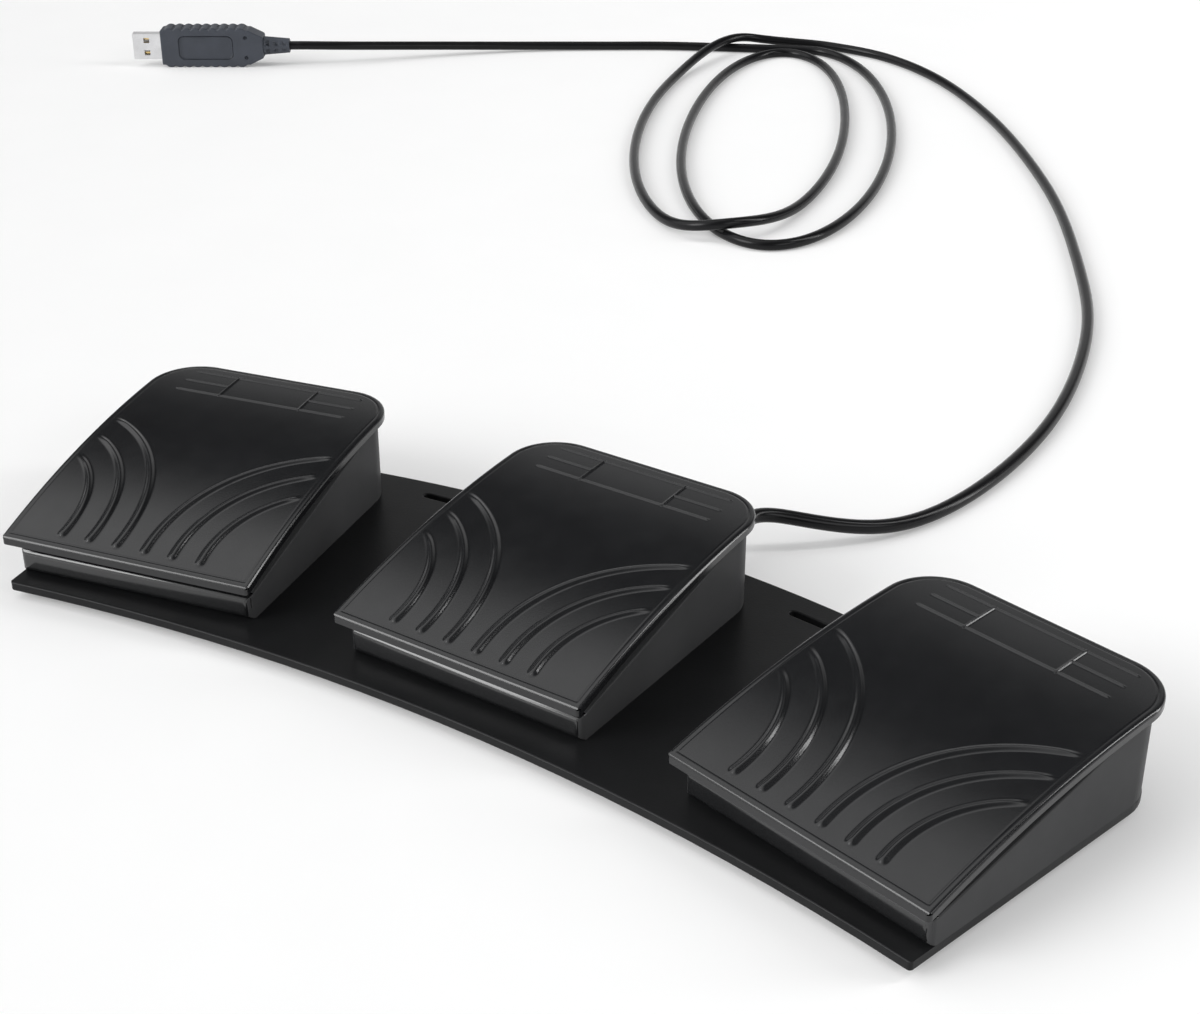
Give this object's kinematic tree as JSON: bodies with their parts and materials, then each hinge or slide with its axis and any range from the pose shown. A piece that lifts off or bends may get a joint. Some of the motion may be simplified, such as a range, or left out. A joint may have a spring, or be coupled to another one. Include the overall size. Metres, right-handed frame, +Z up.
{
  "type": "foot pedal switch",
  "caption": "Foot switch with arched treads on an arc-shaped base; each tread hinges at its back and springs up, with a coiled cord and a USB plug.",
  "frame": {"origin": "under the middle of the base's bounding box, at the level of the feet's soles", "axes": "+X to the right along the row of pedals, +Y from the front edge to the cord side, +Z up"},
  "size_m": [0.6098, 0.5758, 0.0305],
  "materials": {
    "base_steel": "black textured paint on sheet steel",
    "housing_plastic": "fine-grained charcoal moulding",
    "tread_plastic": "satin charcoal moulding",
    "rubber": "matt",
    "cord_jacket": "matt soft jacket",
    "steel": "plain",
    "switch_case": "moulded",
    "plunger_red": "moulded",
    "plug_plastic": "slate grey overmould",
    "plug_shell": "bright nickel plate",
    "tongue_white": "moulded insulator",
    "contact_gold": "gold flash"
  },
  "bodies": {
    "base": {"base_plate": "base_steel", "rubber_feet": "rubber", "housing_left": "housing_plastic", "housing_centre": "housing_plastic", "housing_right": "housing_plastic", "hinge_pin_left": "steel", "hinge_pin_centre": "steel", "hinge_pin_right": "steel", "spring_left": "steel", "spring_centre": "steel", "spring_right": "steel", "switch_left": "switch_case", "switch_centre": "switch_case", "switch_right": "switch_case", "switch_screws_left": "steel", "switch_screws_centre": "steel", "switch_screws_right": "steel", "housing_screws": "steel", "link_wire_left": "cord_jacket", "link_wire_right": "cord_jacket", "splice_sleeve": "rubber", "cord_tail": "cord_jacket", "cord_gland": "rubber", "cord_run": "cord_jacket", "cord_coil": "cord_jacket", "cord_lead": "cord_jacket", "plug_relief": "plug_plastic", "plug_grip": "plug_plastic", "usb_shell": "plug_shell", "usb_tongue": "tongue_white", "usb_contacts": "contact_gold"},
    "tread_left": {"tread_left": "tread_plastic"},
    "lever_left": {"lever_left": "steel"},
    "plunger_left": {"plunger_left": "plunger_red"},
    "tread_centre": {"tread_centre": "tread_plastic"},
    "lever_centre": {"lever_centre": "steel"},
    "plunger_centre": {"plunger_centre": "plunger_red"},
    "tread_right": {"tread_right": "tread_plastic"},
    "lever_right": {"lever_right": "steel"},
    "plunger_right": {"plunger_right": "plunger_red"}
  },
  "joints": [
    {"name": "press_left", "type": "hinge", "parent": "base", "child": "tread_left", "pos_m": [-0.11135, 0.02093, 0.02259], "axis": [0.9744, 0.225, 0], "range_deg": [0, 3], "stiffness_Nm_per_rad": 3, "springref_deg": -1.15, "deforming": ["spring_left"]},
    {"name": "lever_turn_left", "type": "hinge", "parent": "base", "child": "lever_left", "pos_m": [-0.10831, 0.00778, 0.02112], "axis": [0.9744, 0.225, 0], "range_deg": [0, 6], "stiffness_Nm_per_rad": 0.00001, "springref_deg": -114.59},
    {"name": "plunger_slide_left", "type": "slide", "parent": "base", "child": "plunger_left", "axis": [0, 0, -1], "range_m": [0, 0.00062], "stiffness_N_per_m": 0.005, "springref_m": -0.0392},
    {"name": "press_centre", "type": "hinge", "parent": "base", "child": "tread_centre", "pos_m": [0, 0.03362, 0.02259], "axis": [1, 0, 0], "range_deg": [0, 3], "stiffness_Nm_per_rad": 3, "springref_deg": -1.15, "deforming": ["spring_centre"]},
    {"name": "lever_turn_centre", "type": "hinge", "parent": "base", "child": "lever_centre", "pos_m": [0, 0.02012, 0.02112], "axis": [1, 0, 0], "range_deg": [0, 6], "stiffness_Nm_per_rad": 0.00001, "springref_deg": -114.59},
    {"name": "plunger_slide_centre", "type": "slide", "parent": "base", "child": "plunger_centre", "axis": [0, 0, -1], "range_m": [0, 0.00062], "stiffness_N_per_m": 0.005, "springref_m": -0.0392},
    {"name": "press_right", "type": "hinge", "parent": "base", "child": "tread_right", "pos_m": [0.11135, 0.02093, 0.02259], "axis": [0.9744, -0.225, 0], "range_deg": [0, 3], "stiffness_Nm_per_rad": 3, "springref_deg": -1.15, "deforming": ["spring_right"]},
    {"name": "lever_turn_right", "type": "hinge", "parent": "base", "child": "lever_right", "pos_m": [0.10831, 0.00778, 0.02112], "axis": [0.9744, -0.225, 0], "range_deg": [0, 6], "stiffness_Nm_per_rad": 0.00001, "springref_deg": -114.59},
    {"name": "plunger_slide_right", "type": "slide", "parent": "base", "child": "plunger_right", "axis": [0, 0, -1], "range_m": [0, 0.00062], "stiffness_N_per_m": 0.005, "springref_m": -0.0392}
  ],
  "couplings": [
    {"joint": "lever_turn_left", "follows": "press_left", "ratio": 1.95},
    {"joint": "plunger_slide_left", "follows": "press_left", "m_per_rad": 0.01146},
    {"joint": "lever_turn_centre", "follows": "press_centre", "ratio": 1.95},
    {"joint": "plunger_slide_centre", "follows": "press_centre", "m_per_rad": 0.01146},
    {"joint": "lever_turn_right", "follows": "press_right", "ratio": 1.95},
    {"joint": "plunger_slide_right", "follows": "press_right", "m_per_rad": 0.01146}
  ]
}
